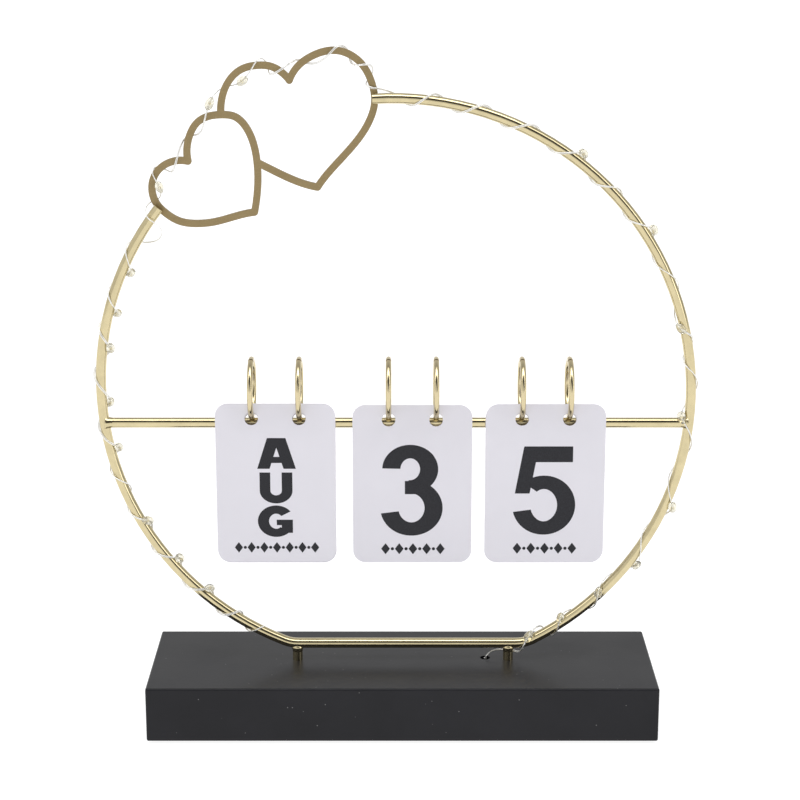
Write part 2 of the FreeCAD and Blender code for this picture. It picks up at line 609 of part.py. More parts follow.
def main():
    os.makedirs("parts", exist_ok=True)
    hoop = make_hoop()
    crossbar = make_crossbar(hoop)
    plate = make_heart_plate()
    save("base_block", make_base())
    save("felt_sheet", make_felt())
    save("hoop", hoop)
    save("crossbar", crossbar)
    save("heart_plate", plate)
    posts = []
    for side, x in POSTS:
        posts.append(make_post(x, hoop))
        save("post_" + side, posts[-1])
    save("post_washers", Part.makeCompound([make_washer(x) for _, x in POSTS]))
    save("post_nuts", Part.makeCompound([make_nut(x) for _, x in POSTS]))

    rings = 0
    for pack, centre_x in PACKS.items():
        for hole_side in (-1, 1):
            rings += 1
            save("ring_%d" % rings, make_ring(centre_x + hole_side * HOLE_SPACING / 2, crossbar))
        for index, name in enumerate(STACKS[pack]):
            save("card_%s_%s" % (pack, name), make_card(centre_x, index))

    save("battery_case", make_case())
    save("battery_lid", make_lid())
    save("lid_screw", make_lid_screw())
    save("case_screws", Part.makeCompound([make_case_screw(x, y) for x, y in CASE_SCREWS]))
    for number, x in enumerate(CELL_XS, 1):
        save("coin_cell_%d" % number, cylinder(x, 0, CELL_BOTTOM, CELL_TOP, CELL_DIAMETER))
    save("lid_bridge_contact", make_lid_bridge())
    save("positive_contact", leaf_contact(CELL_XS[0] - CONTACT_BEYOND_CELL,
                                          CELL_XS[0] + POSITIVE_CONTACT_REACH, CELL_XS[0],
                                          CASE_CEILING, CELL_TOP))
    save("negative_contact", leaf_contact(CELL_XS[1] - CONTACT_BEYOND_CELL,
                                          SWITCH_X - SWITCH_LENGTH / 2, CELL_XS[1],
                                          CASE_CEILING, CELL_TOP))
    save("switch_body", make_switch_body())
    save("switch_knob", make_switch_knob())

    save("inner_lead", tube(routed_wire("inner_lead", LEAD_INSIDE), LEAD_DIAMETER))
    frame = [hoop, crossbar, plate] + posts
    outer_lead = tube(routed_wire("light_lead", LEAD_OUTSIDE), LEAD_DIAMETER)
    save("light_lead", outer_lead)
    right = sleeve(right_arcs(WINDING_STOP), [hoop, crossbar])
    left = sleeve([left_arc(WINDING_STOP)], [hoop, crossbar])
    hearts = make_heart_winding()
    save("light_winding_right", right)
    save("light_winding_left", left)
    save("light_winding_hearts", hearts)
    save("light_beads", make_beads(frame + [right, left] + hearts.Solids))


main()
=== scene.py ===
"""Finishes for a flip desk calendar: lights wound on its hoop, printed cards, gold metalwork.

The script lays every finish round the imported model, in metres, X to the right, Y to the
back and Z up, with the origin on the desk under the middle of the base.
"""
import math

import bpy
import numpy as np
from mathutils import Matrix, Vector


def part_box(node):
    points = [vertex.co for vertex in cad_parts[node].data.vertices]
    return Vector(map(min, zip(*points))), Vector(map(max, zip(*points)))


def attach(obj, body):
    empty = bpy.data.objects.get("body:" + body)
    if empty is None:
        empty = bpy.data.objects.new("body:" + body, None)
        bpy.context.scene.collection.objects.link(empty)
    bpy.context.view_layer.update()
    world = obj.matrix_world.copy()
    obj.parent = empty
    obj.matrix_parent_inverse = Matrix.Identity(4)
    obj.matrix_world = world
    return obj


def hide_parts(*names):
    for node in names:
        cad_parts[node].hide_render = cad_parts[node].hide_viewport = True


bl_info = {
    "name": "Flip Desk Calendar Finishes",
    "version": (1, 0, 0),
    "blender": (4, 5, 0),
    "location": "3D View > Sidebar > Desk Calendar",
    "description": "Lights, printed cards and surface finishes for a flip desk calendar",
    "category": "Object",
}

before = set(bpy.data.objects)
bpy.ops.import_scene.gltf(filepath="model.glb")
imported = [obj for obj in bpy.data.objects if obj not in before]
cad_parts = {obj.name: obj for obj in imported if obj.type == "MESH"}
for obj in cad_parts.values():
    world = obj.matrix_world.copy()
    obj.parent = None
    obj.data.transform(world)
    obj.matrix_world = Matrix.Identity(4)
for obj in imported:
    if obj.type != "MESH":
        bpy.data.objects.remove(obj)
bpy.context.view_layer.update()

MM = 0.001

# ---- the hoop's own geometry, worked out from the frame ----
HOOP_LOW, HOOP_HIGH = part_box("hoop")
BAR_LOW, BAR_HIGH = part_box("crossbar")
PLATE_LOW, PLATE_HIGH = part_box("heart_plate")
BLOCK_LOW, BLOCK_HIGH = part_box("base_block")
ROD = (BAR_HIGH.z - BAR_LOW.z) / 2
CHORD_Z = HOOP_LOW.z + ROD
CHORD_HALF = 41.4 * MM
LEFT_RADIUS = 113.8 * MM
UPPER_RADIUS = 116.0 * MM
LOWER_RADIUS = 114.0 * MM
RIGHT_SIDE_DROP = 4.0 * MM
LEFT_CENTRE = np.array([HOOP_LOW.x + ROD + LEFT_RADIUS, 0,
                        CHORD_Z + math.sqrt(LEFT_RADIUS ** 2 - CHORD_HALF ** 2)])
RIGHT_MOST = HOOP_HIGH.x - ROD
UPPER_CENTRE = np.array([RIGHT_MOST - UPPER_RADIUS, 0, LEFT_CENTRE[2] - RIGHT_SIDE_DROP])
LOWER_CENTRE = np.array([RIGHT_MOST - LOWER_RADIUS, 0, UPPER_CENTRE[2]])
HEART_CENTRE = np.array([LEFT_CENTRE[0] - 42.6 * MM, 0, LEFT_CENTRE[2] + 93.2 * MM])
PLATE_MIDDLE = (PLATE_LOW.y + PLATE_HIGH.y) / 2
HEART_REACH_ACROSS = 2.4 * MM
HEART_REACH_DEEP = 1.65 * MM

# ---- the string of lights ----
# Its route from the hole in the block to the rod, point by point, in millimetres.
LEAD_ROUTE = [(33.4, 1.5, 23.0), (34.8, 1.8, 25.1), (37.5, 2.7, 26.0), (41.0, 3.7, 25.8),
              (44.4, 3.3, 25.5), (46.6, 0.8, 25.7), (47.5, -2.2, 27.4), (48.7, -3.2, 30.4),
              (50.4, -2.4, 33.8), (52.4, -0.6, 35.7), (54.5, 1.5, 36.6), (56.4, 3.2, 36.0)]
# Degrees round each arc of the rod at which the string passes before the rod, in its order.
RIGHT_PASSES = [-64.5, -55.8, -45.9, -32.5, -20.4, -6.4, 5.6, 13.2, 25.6, 36.4, 45.7, 55.6,
                65.7, 75.3, 84.5, 93.0]
LEFT_PASSES = [144.5, 153.3, 162.5, 169.7, 179.6, 190.6, 198.9, 207.5, 217.0, 226.5, 234.8,
               241.0, 247.0]
# The turns, counted along those passes, at which each winding starts and ends.
RIGHT_FIRST_PHASE = 0.66
RIGHT_LAST_PHASE = 14.7
LEFT_FIRST_PHASE = 0.60
LEFT_LAST_PHASE = 11.2
HEART_FIRST_PHASE = -0.12
POINTS_PER_TURN = 12
CORNER_STRETCH = 1 / math.cos(math.pi / POINTS_PER_TURN)
# How far the string's middle line stands off the rod's surface, and a bead's lift.
STRING_STAND = 0.46 * MM
BEAD_LIFT = 1.0 * MM
BEAD_WIDTH_IN_TURNS = 0.11
BEAD_STAND = 1.4 * MM
# Each pass before the heart plate: its place from the heart centre, and the way out of the
# heart there in degrees; then the place where the string goes behind the plate after it.
HEART_PASSES = [((34.9, 22.3), 5, (34.0, 26.5)), ((31.0, 31.2), 45, (25.6, 35.3)),
                ((19.4, 36.1), 95, (8.4, 31.9)), ((-0.7, 28.6), 50, (-4.9, 30.6)),
                ((-9.6, 31.2), 100, (-20.6, 22.8)), ((-28.5, 11.0), 112, (-34.4, 4.4)),
                ((-39.9, -6.0), 96, (-45.4, -8.2)), ((-48.2, -11.4), 150, (-48.0, -20.6))]
# From the last pass round the heart, before the rod and back to the left winding.
HEART_LOOP = [(-49.5, 3.4, -20.7), (-51.0, 1.6, -21.6), (-51.7, -0.6, -22.9), (-51.5, -2.5, -24.6),
              (-50.5, -3.5, -26.3), (-48.4, -3.7, -27.6), (-46.4, -3.4, -29.2), (-45.3, -2.6, -31.4),
              (-46.1, -1.4, -34.0), (-48.2, 0.2, -35.6), (-51.0, 1.8, -36.4), (-54.0, 2.8, -36.5)]
# Length in which the two wires turn by a radian, and the length that makes that uneven.
STRAND_TWIST = 19 * MM
STRAND_WANDER = 47 * MM
# Degrees of the light beads on the right and the left, and their places on the hearts.
RIGHT_BEADS = [-62.6, -54.5, -44.8, -36.1, -22.3, -4.0, 14.3, 33.5, 52.9]
LEFT_BEADS = [155.9, 164.7, 171.7, 183.3, 192.7, 208.9, 219.5, 228.3]
HEART_BEADS = [(-15.0, 26.0), (-26.1, 15.9), (-45.0, -14.6)]

# How much further each stroke of print stands out than the one under it.
INK_STEP = 0.0006 * MM
MONTHS = ["jan", "feb", "mar", "apr", "may", "jun", "jul", "aug", "sep", "oct", "nov", "dec"]


# ---- sizes and colours that a user would change ----

class LightStringSettings(bpy.types.PropertyGroup):
    strand: bpy.props.FloatProperty(
        name="Strand", description="Diameter of one of the two bare wires",
        default=0.38 * MM, unit="LENGTH", precision=5)
    spread: bpy.props.FloatProperty(
        name="Spread", description="Distance between the middles of the two wires",
        default=0.48 * MM, unit="LENGTH", precision=5)
    bead_diameter: bpy.props.FloatProperty(
        name="Bead Diameter", description="Widest diameter of one resin drop",
        default=3.3 * MM, unit="LENGTH", precision=5)
    bead_length: bpy.props.FloatProperty(
        name="Bead Length", description="Length of one resin drop along the wires",
        default=5.2 * MM, unit="LENGTH", precision=5)
    slack: bpy.props.FloatProperty(
        name="Slack", description="How far a loose turn may stand off the rod",
        default=0.3 * MM, unit="LENGTH", precision=5)


class MetalSettings(bpy.types.PropertyGroup):
    rod_colour: bpy.props.FloatVectorProperty(
        name="Rod Gold", description="Colour of the plated rods",
        subtype="COLOR", size=4, min=0, max=1, default=(0.62, 0.535, 0.325, 1))
    plate_colour: bpy.props.FloatVectorProperty(
        name="Heart Gold", description="Colour of the painted heart plate",
        subtype="COLOR", size=4, min=0, max=1, default=(0.31, 0.235, 0.118, 1))
    ring_colour: bpy.props.FloatVectorProperty(
        name="Ring Gold", description="Colour of the plated rings",
        subtype="COLOR", size=4, min=0, max=1, default=(0.64, 0.55, 0.345, 1))


class CardSettings(bpy.types.PropertyGroup):
    stock_colour: bpy.props.FloatVectorProperty(
        name="Card", description="Colour of the card stock",
        subtype="COLOR", size=4, min=0, max=1, default=(0.735, 0.72, 0.775, 1))
    ink_colour: bpy.props.FloatVectorProperty(
        name="Ink", description="Colour of the print",
        subtype="COLOR", size=4, min=0, max=1, default=(0.020, 0.020, 0.024, 1))
    ink_relief: bpy.props.FloatProperty(
        name="Ink Relief", description="Height of the print over the card",
        default=0.02 * MM, unit="LENGTH", precision=6)


class BaseSettings(bpy.types.PropertyGroup):
    paint_colour: bpy.props.FloatVectorProperty(
        name="Paint", description="Colour of the satin paint on the block",
        subtype="COLOR", size=4, min=0, max=1, default=(0.0115, 0.0115, 0.0140, 1))
    felt_colour: bpy.props.FloatVectorProperty(
        name="Felt", description="Colour of the felt under the block",
        subtype="COLOR", size=4, min=0, max=1, default=(0.02, 0.02, 0.021, 1))


class StageSettings(bpy.types.PropertyGroup):
    floor_size: bpy.props.FloatProperty(
        name="Floor", description="Side of the square floor",
        default=24.0, unit="LENGTH")
    key_power: bpy.props.FloatProperty(
        name="Key Light", description="Power of the large soft light overhead",
        default=4.0, unit="POWER")


# ---- node helpers ----

def shader(name, colour, roughness, metallic=0.0, **sockets):
    """A material with one Principled shader, its plain values set on its own sockets."""
    material = bpy.data.materials.new(name)
    material.use_nodes = True
    surface = material.node_tree.nodes["Principled BSDF"]
    surface.inputs["Base Color"].default_value = colour
    surface.inputs["Roughness"].default_value = roughness
    surface.inputs["Metallic"].default_value = metallic
    for socket, value in sockets.items():
        surface.inputs[socket.replace("_", " ")].default_value = value
    return material, surface


def node(material, kind, **values):
    made = material.node_tree.nodes.new(kind)
    for key, value in values.items():
        setattr(made, key, value)
    return made


def link(material, source, target):
    material.node_tree.links.new(source, target)


def place(material, stretch=(1, 1, 1)):
    """Object coordinates, stretched along each axis."""
    coordinates = node(material, "ShaderNodeTexCoord")
    mapping = node(material, "ShaderNodeMapping")
    mapping.inputs["Scale"].default_value = stretch
    link(material, coordinates.outputs["Object"], mapping.inputs["Vector"])
    return mapping.outputs["Vector"]


def noise(material, where, scale, detail=3.0, roughness=0.55):
    texture = node(material, "ShaderNodeTexNoise")
    texture.inputs["Scale"].default_value = scale
    texture.inputs["Detail"].default_value = detail
    texture.inputs["Roughness"].default_value = roughness
    link(material, where, texture.inputs["Vector"])
    return texture.outputs["Fac"]


def span(material, value, low, high, from_low=0.0, from_high=1.0):
    """The value, carried from one range to another and kept inside it."""
    mapped = node(material, "ShaderNodeMapRange")
    mapped.inputs["From Min"].default_value = from_low
    mapped.inputs["From Max"].default_value = from_high
    mapped.inputs["To Min"].default_value = low
    mapped.inputs["To Max"].default_value = high
    link(material, value, mapped.inputs["Value"])
    return mapped.outputs["Result"]


def blended(material, factor, first, second):
    """A colour that runs from the first to the second with the factor."""
    mix = node(material, "ShaderNodeMix", data_type="RGBA")
    mix.inputs[6].default_value = first
    mix.inputs[7].default_value = second
    link(material, factor, mix.inputs[0])
    return mix.outputs[2]


def raised(material, surface, heights):
    """Bump from several heights, each with a distance in metres, one after another."""
    normal = None
    for value, distance in heights:
        bump = node(material, "ShaderNodeBump")
        bump.inputs["Distance"].default_value = distance
        link(material, value, bump.inputs["Height"])
        if normal is not None:
            link(material, normal, bump.inputs["Normal"])
        normal = bump.outputs["Normal"]
    link(material, normal, surface.inputs["Normal"])


def shaded(colour, factor):
    return tuple(min(1.0, channel * factor) for channel in colour[:3]) + (1,)


# ---- materials ----

def rod_gold(colour):
    """Champagne plating on drawn rod: soft cloudy gloss and fine pits."""
    material, surface = shader("gold_plated_rod", colour, 0.2, 1.0)
    where = place(material)
    clouds = noise(material, where, 260, 4)
    grain = noise(material, where, 5200, 2)
    link(material, span(material, clouds, 0.10, 0.18, 0.3, 0.7), surface.inputs["Roughness"])
    link(material, blended(material, span(material, clouds, 0, 1, 0.3, 0.7),
                           shaded(colour, 0.93), shaded(colour, 1.06)), surface.inputs["Base Color"])
    raised(material, surface, [(grain, 0.0000035), (clouds, 0.00001)])
    return material


def ring_gold(colour):
    """Bright plating on ring wire, with faint rubbing where the cards slide."""
    material, surface = shader("gold_plated_ring", colour, 0.16, 1.0)
    where = place(material)
    rub = noise(material, where, 900, 3)
    link(material, span(material, rub, 0.10, 0.24, 0.3, 0.7), surface.inputs["Roughness"])
    raised(material, surface, [(noise(material, where, 6400, 2), 0.000003)])
    return material


def plate_gold(colour):
    """Matt gold spray on flat plate: fine grain, a little cloudiness, rubbed lighter in places."""
    material, surface = shader("gold_sprayed_plate", colour, 0.5, 0.75)
    where = place(material)
    grain = noise(material, where, 3800, 3, 0.7)
    clouds = noise(material, where, 120, 3)
    link(material, blended(material, span(material, grain, 0, 1, 0.35, 0.65),
                           shaded(colour, 0.90), shaded(colour, 1.10)), surface.inputs["Base Color"])
    link(material, span(material, clouds, 0.44, 0.56, 0.3, 0.7), surface.inputs["Roughness"])
    raised(material, surface, [(grain, 0.000012)])
    return material


def card_stock(colour):
    """Coated card: nearly even, with faint fibres under a soft sheen."""
    material, surface = shader("coated_card", colour, 0.5, 0.0, Specular_IOR_Level=0.4)
    where = place(material)
    fibres = noise(material, place(material, (1, 1, 0.35)), 1600, 4, 0.65)
    mottle = noise(material, where, 60, 3)
    link(material, blended(material, span(material, mottle, 0, 1, 0.3, 0.7),
                           shaded(colour, 0.985), shaded(colour, 1.01)), surface.inputs["Base Color"])
    link(material, span(material, fibres, 0.44, 0.58, 0.3, 0.7), surface.inputs["Roughness"])
    raised(material, surface, [(fibres, 0.000008)])
    return material


def printing_ink(colour):
    """Flat ink that lets a little of the card's grain through."""
    material, surface = shader("printing_ink", colour, 0.6, 0.0, Specular_IOR_Level=0.25)
    grain = noise(material, place(material), 2600, 4, 0.7)
    link(material, blended(material, span(material, grain, 0, 1, 0.35, 0.7), shaded(colour, 0.85),
                           shaded(colour, 1.5)), surface.inputs["Base Color"])
    raised(material, surface, [(grain, 0.000004)])
    return material


def satin_paint(colour):
    """Black satin paint on wood: faint grain, orange peel and dust specks."""
    material, surface = shader("black_satin_paint", colour, 0.34, 0.0, Specular_IOR_Level=0.2)
    where = place(material)
    grain = noise(material, place(material, (0.12, 1, 1)), 420, 5, 0.6)
    peel = noise(material, where, 900, 2)
    clouds = noise(material, where, 35, 4)
    specks = node(material, "ShaderNodeTexVoronoi")
    specks.inputs["Scale"].default_value = 210
    link(material, where, specks.inputs["Vector"])
    dust = span(material, specks.outputs["Distance"], 1, 0, 0.03, 0.055)
    painted = blended(material, span(material, clouds, 0, 1, 0.3, 0.7), shaded(colour, 0.85),
                      shaded(colour, 1.25))
    mix = node(material, "ShaderNodeMix", data_type="RGBA")
    mix.inputs[7].default_value = (0.16, 0.16, 0.16, 1)
    link(material, dust, mix.inputs[0])
    link(material, painted, mix.inputs[6])
    link(material, mix.outputs[2], surface.inputs["Base Color"])
    link(material, span(material, clouds, 0.28, 0.38, 0.3, 0.7), surface.inputs["Roughness"])
    raised(material, surface, [(grain, 0.000010), (peel, 0.000008)])
    return material


def felt(colour):
    """Pressed felt: tangled fibres, no gloss."""
    material, surface = shader("black_felt", colour, 0.95, 0.0, Specular_IOR_Level=0.1,
                               Sheen_Weight=0.35, Sheen_Roughness=0.6)
    where = place(material)
    fibres = noise(material, where, 2400, 6, 0.75)
    tufts = noise(material, where, 500, 3)
    link(material, blended(material, span(material, fibres, 0, 1, 0.35, 0.65),
                           shaded(colour, 0.5), shaded(colour, 2.2)), surface.inputs["Base Color"])
    raised(material, surface, [(fibres, 0.00012), (tufts, 0.0001)])
    return material


def moulded_plastic(name, colour):
    """Moulded plastic with a fine spark-eroded grain."""
    material, surface = shader(name, colour, 0.45, 0.0, Specular_IOR_Level=0.45)
    where = place(material)
    grain = noise(material, where, 2800, 2, 0.6)
    link(material, span(material, grain, 0.38, 0.55, 0.3, 0.7), surface.inputs["Roughness"])
    link(material, blended(material, span(material, noise(material, where, 90, 3), 0, 1, 0.3, 0.7),
                           shaded(colour, 0.9), shaded(colour, 1.15)), surface.inputs["Base Color"])
    raised(material, surface, [(grain, 0.00002)])
    return material


def worked_metal(name, colour, stretch, gloss):
    """Bare or zinc-plated metal with fine tool marks along one way."""
    material, surface = shader(name, colour, gloss, 1.0)
    marks = noise(material, place(material, stretch), 1500, 4, 0.6)
    link(material, span(material, marks, gloss * 0.75, gloss * 1.35, 0.3, 0.7),
         surface.inputs["Roughness"])
    link(material, blended(material, span(material, marks, 0, 1, 0.3, 0.7), shaded(colour, 0.9),
                           shaded(colour, 1.05)), surface.inputs["Base Color"])
    raised(material, surface, [(marks, 0.000006)])
    return material


def clear_resin():
    """Clear resin with a few faint ripples."""
    material, surface = shader("clear_resin", (0.95, 0.92, 0.80, 1), 0.16, 0.0, IOR=1.4,
                               Transmission_Weight=0.8)
    ripples = noise(material, place(material), 700, 2)
    raised(material, surface, [(ripples, 0.00006)])
    return material


def light_chip():
    """Warm phosphor over the chip."""
    material, surface = shader("phosphor_chip", (0.90, 0.80, 0.52, 1), 0.5)
    grain = noise(material, place(material), 4000, 2)
    link(material, blended(material, grain, (0.82, 0.70, 0.40, 1), (0.95, 0.88, 0.62, 1)),
         surface.inputs["Base Color"])
    return material


# ---- mesh helpers ----

def grid_faces(rows, columns, close_rows=False, close_columns=False, first=0):
    """Quads of a grid of points, wrapped round either way where asked."""
    i = np.arange(rows if close_rows else rows - 1)[:, None]
    j = np.arange(columns if close_columns else columns - 1)[None, :]
    down, right = (i + 1) % rows, (j + 1) % columns
    quads = np.stack([i * columns + j, i * columns + right, down * columns + right,
                      down * columns + j], -1)
    return quads.reshape(-1, 4) + first


def mesh_piece(name, points, faces, material, body, slot, smooth=True):
    """A mesh object at the origin that rides on a body and takes the given material; the slot is not
    used.
    """
    mesh = bpy.data.meshes.new(name)
    mesh.from_pydata(np.asarray(points, float).reshape(-1, 3).tolist(), [],
                     [list(map(int, face)) for face in faces])
    mesh.materials.append(material)
    mesh.polygons.foreach_set("use_smooth", np.full(len(mesh.polygons), smooth))
    mesh.update()
    piece = bpy.data.objects.new(name, mesh)
    bpy.context.scene.collection.objects.link(piece)
    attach(piece, body)
    return piece


def joined(grids, close_rows=False, close_columns=True):
    """One list of points and faces from several grids; each open end gets a cap."""
    points, faces, first = [], [], 0
    for grid in grids:
        rows, columns = grid.shape[:2]
        points.append(grid.reshape(-1, 3))
        faces += grid_faces(rows, columns, close_rows, close_columns, first).tolist()
        if close_columns and not close_rows:
            faces.append([first + column for column in reversed(range(columns))])
            faces.append([first + (rows - 1) * columns + column for column in range(columns)])
        first += rows * columns
    return np.concatenate(points), faces


def unit(vectors):
    return vectors / np.linalg.norm(vectors, axis=-1, keepdims=True)


def side_frames(line):
    """Two directions across a line at each point, turning as little as possible along it.

    The first is carried from point to point by taking away its part along the tangent.
    """
    tangents = unit(np.gradient(line, axis=0))
    carried = np.empty_like(line)
    guess = np.array([0.0, 1.0, 0.0])
    for index, tangent in enumerate(tangents):
        guess = guess - tangent * guess.dot(tangent)
        guess /= np.linalg.norm(guess)
        carried[index] = guess
    return tangents, carried, np.cross(tangents, carried)


def across_pair(along, guide):
    """Two unit directions across a direction, the first square to the guide as well."""
    side = unit(np.cross(along, guide))
    return side, np.cross(along, side)


def swept(line, across, up, radius, sides):
    """A tube: at each point of the line a ring of points, radius times cosine and sine."""
    turn = np.linspace(0, 2 * np.pi, sides, endpoint=False)
    radius = np.broadcast_to(radius, len(line))[:, None, None]
    ring = across[:, None] * np.cos(turn)[None, :, None] + up[:, None] * np.sin(turn)[None, :, None]
    return line[:, None] + ring * radius


def finish_node(names, material):
    """Give CAD nodes a better material in every slot."""
    for name in names:
        for index in range(len(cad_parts[name].data.materials)):
            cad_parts[name].data.materials[index] = material


# ---- the string of lights ----

def wound_points(centres, radii, passes, first, last, slack, beads):
    """Control points of the string round a rod bent to an arc.

    The phase counts turns and is whole where the string passes before the rod; the place
    round the arc follows the phase.  At each phase the point stands off the rod's middle
    line by -Y times the cosine and -outward times the sine, a little further where the
    turn is loose and where a bead lifts it.
    """
    phase = np.arange(first, last, 1 / POINTS_PER_TURN)
    degrees = np.interp(phase, np.arange(len(passes)), passes)
    angle = np.radians(degrees)
    outward = np.stack([np.cos(angle), 0 * angle, np.sin(angle)], -1)
    middle = centres(degrees) + outward * radii(degrees)[:, None]
    tight = (ROD + STRING_STAND) * CORNER_STRETCH
    loose = slack * np.interp(phase * 2, np.arange(64), np.random.default_rng(11).random(64) ** 2)
    lift = sum(np.exp(-((phase - bead) / BEAD_WIDTH_IN_TURNS) ** 2) for bead in beads) * BEAD_LIFT
    sine, cosine = np.sin(2 * np.pi * phase), np.cos(2 * np.pi * phase)
    out = tight + loose * sine ** 2 + lift
    front = tight + lift
    offset = -outward * (out * sine)[:, None]
    offset[:, 1] = -front * cosine
    return middle + offset


def right_points(slack):
    beads = np.interp(RIGHT_BEADS, RIGHT_PASSES, np.arange(len(RIGHT_PASSES)))
    return wound_points(lambda d: np.where((d < 0)[:, None], LOWER_CENTRE, UPPER_CENTRE),
                        lambda d: np.where(d < 0, LOWER_RADIUS, UPPER_RADIUS),
                        RIGHT_PASSES, RIGHT_FIRST_PHASE, RIGHT_LAST_PHASE, slack, beads)


def left_points(slack):
    beads = np.interp(LEFT_BEADS, LEFT_PASSES, np.arange(len(LEFT_PASSES)))
    return wound_points(lambda d: np.tile(LEFT_CENTRE, (len(d), 1)),
                        lambda d: np.full(len(d), LEFT_RADIUS),
                        LEFT_PASSES, LEFT_FIRST_PHASE, LEFT_LAST_PHASE, slack, beads)


def heart_points():
    """Control points over the hearts: an oval helix that is whole turns before the plate.

    Its middle line runs from each place before the plate to the place behind it and on to
    the next; a point stands off it by -Y times the cosine and -outward times the sine.
    """
    places = np.array([place_at for front, _, back in HEART_PASSES for place_at in (front, back)]) * MM
    halves = np.arange(len(places)) / 2
    phase = np.arange(HEART_FIRST_PHASE, halves[-1] + 0.01, 1 / POINTS_PER_TURN)
    angle = np.radians(np.interp(phase, np.arange(len(HEART_PASSES)), [row[1] for row in HEART_PASSES]))
    outward = np.stack([np.cos(angle), 0 * angle, np.sin(angle)], -1)
    middle = HEART_CENTRE + np.stack([np.interp(phase, halves, places[:, 0]), 0 * phase + PLATE_MIDDLE,
                                      np.interp(phase, halves, places[:, 1])], -1)
    offset = -outward * (HEART_REACH_ACROSS * CORNER_STRETCH * np.sin(2 * np.pi * phase))[:, None]
    offset[:, 1] = -HEART_REACH_DEEP * CORNER_STRETCH * np.cos(2 * np.pi * phase)
    loop = HEART_CENTRE + np.array(HEART_LOOP) * MM
    return np.concatenate([middle + offset, loop])


def smooth_line(points):
    """The smooth line that the points steer, read back from their own spline."""
    curve = bpy.data.curves.new("string_route", "CURVE")
    curve.dimensions = "3D"
    spline = curve.splines.new("NURBS")
    spline.points.add(len(points) - 1)
    rows = np.concatenate([points, np.ones((len(points), 1))], 1)
    spline.points.foreach_set("co", rows.ravel())
    spline.order_u = 3
    spline.use_endpoint_u = True
    spline.resolution_u = 4
    route = bpy.data.objects.new("string_route", curve)
    bpy.context.scene.collection.objects.link(route)
    mesh = bpy.data.meshes.new_from_object(route)
    line = np.empty(len(mesh.vertices) * 3)
    mesh.vertices.foreach_get("co", line)
    bpy.data.objects.remove(route)
    bpy.data.meshes.remove(mesh)
    bpy.data.curves.remove(curve)
    return line.reshape(-1, 3)


def two_strands(line, settings):
    """Two bare wires side by side, turning slowly about the line between them."""
    _, across, up = side_frames(line)
    along = np.concatenate([[0], np.cumsum(np.linalg.norm(np.diff(line, axis=0), axis=1))])
    twist = along / STRAND_TWIST + 0.8 * np.sin(along / STRAND_WANDER)
    apart = across * np.cos(twist)[:, None] + up * np.sin(twist)[:, None]
    return [swept(line + apart * side * settings.spread / 2, across, up, settings.strand / 2, 7)
            for side in (-1, 1)]


def bead_places(line):
    """The line's nearest point to each wanted bead, with the way that the line runs there."""
    wanted = []
    for degrees in RIGHT_BEADS:
        centre, radius = ((LOWER_CENTRE, LOWER_RADIUS) if degrees < 0
                          else (UPPER_CENTRE, UPPER_RADIUS))
        wanted.append((centre, radius, degrees, RIGHT_PASSES))
    for degrees in LEFT_BEADS:
        wanted.append((LEFT_CENTRE, LEFT_RADIUS, degrees, LEFT_PASSES))
    targets = []
    for centre, radius, degrees, passes in wanted:
        turn = 2 * math.pi * np.interp(degrees, passes, np.arange(len(passes)))
        angle = math.radians(degrees)
        out = np.array([math.cos(angle), 0, math.sin(angle)])
        stand = ROD + BEAD_STAND
        targets.append(centre + out * (radius - stand * math.sin(turn))
                       + np.array([0, -stand * math.cos(turn), 0]))
    for x, z in HEART_BEADS:
        targets.append(HEART_CENTRE + np.array([x * MM, PLATE_MIDDLE, z * MM]))
    tangents = unit(np.gradient(line, axis=0))
    nearest = [int(np.argmin(np.linalg.norm(line - target, axis=1))) for target in targets]
    return line[nearest], tangents[nearest]


def beads(places, tangents, settings):
    """Drops of resin: the radius along the wires is a power of a half circle, a little fuller
    to one end, with two shallow lobes round it."""
    random = np.random.default_rng(5)
    share = np.sin(np.linspace(-np.pi / 2, np.pi / 2, 17))
    turn = np.linspace(0, 2 * np.pi, 20, endpoint=False)
    grids = []
    for at, along in zip(places, tangents):
        side, up = across_pair(along, [0.3, 1.0, 0.2])
        size = random.uniform(0.92, 1.08)
        radius = settings.bead_diameter / 2 * size * (1 - share ** 2) ** 0.55
        radius *= 1 + 0.14 * share * random.choice([-1, 1])
        lobes = 1 + 0.06 * np.cos(2 * turn + random.uniform(0, 6)) * random.uniform(0.3, 1)
        ring = side[None] * np.cos(turn)[:, None] + up[None] * np.sin(turn)[:, None]
        radius = np.maximum(radius, 0.12 * MM)[:, None, None] * lobes[None, :, None]
        middle = at + along * (share * settings.bead_length / 2 * size)[:, None]
        grids.append(middle[:, None] + ring[None] * radius)
    return joined(grids)


def squared(value):
    """A sine or cosine pushed out towards one or minus one, which squares off a ball."""
    return np.sign(value) * np.abs(value) ** 0.45


def chips(places, tangents):
    """One small rounded block in each drop: a ball squared off by a power of sine and cosine."""
    long_half, wide_half, thick_half = 0.55 * MM, 0.4 * MM, 0.28 * MM
    rise = np.linspace(-np.pi / 2, np.pi / 2, 9)
    turn = np.linspace(0, 2 * np.pi, 12, endpoint=False)
    grids = []
    for at, along in zip(places, tangents):
        side, up = across_pair(along, [0.3, 1.0, 0.2])
        a = squared(np.cos(rise))[:, None] * squared(np.cos(turn))[None] * long_half
        b = squared(np.cos(rise))[:, None] * squared(np.sin(turn))[None] * wide_half
        c = np.repeat(squared(np.sin(rise))[:, None] * thick_half, len(turn), 1)
        grids.append(at + along * a[..., None] + side * b[..., None] + up * c[..., None])
    return joined(grids)


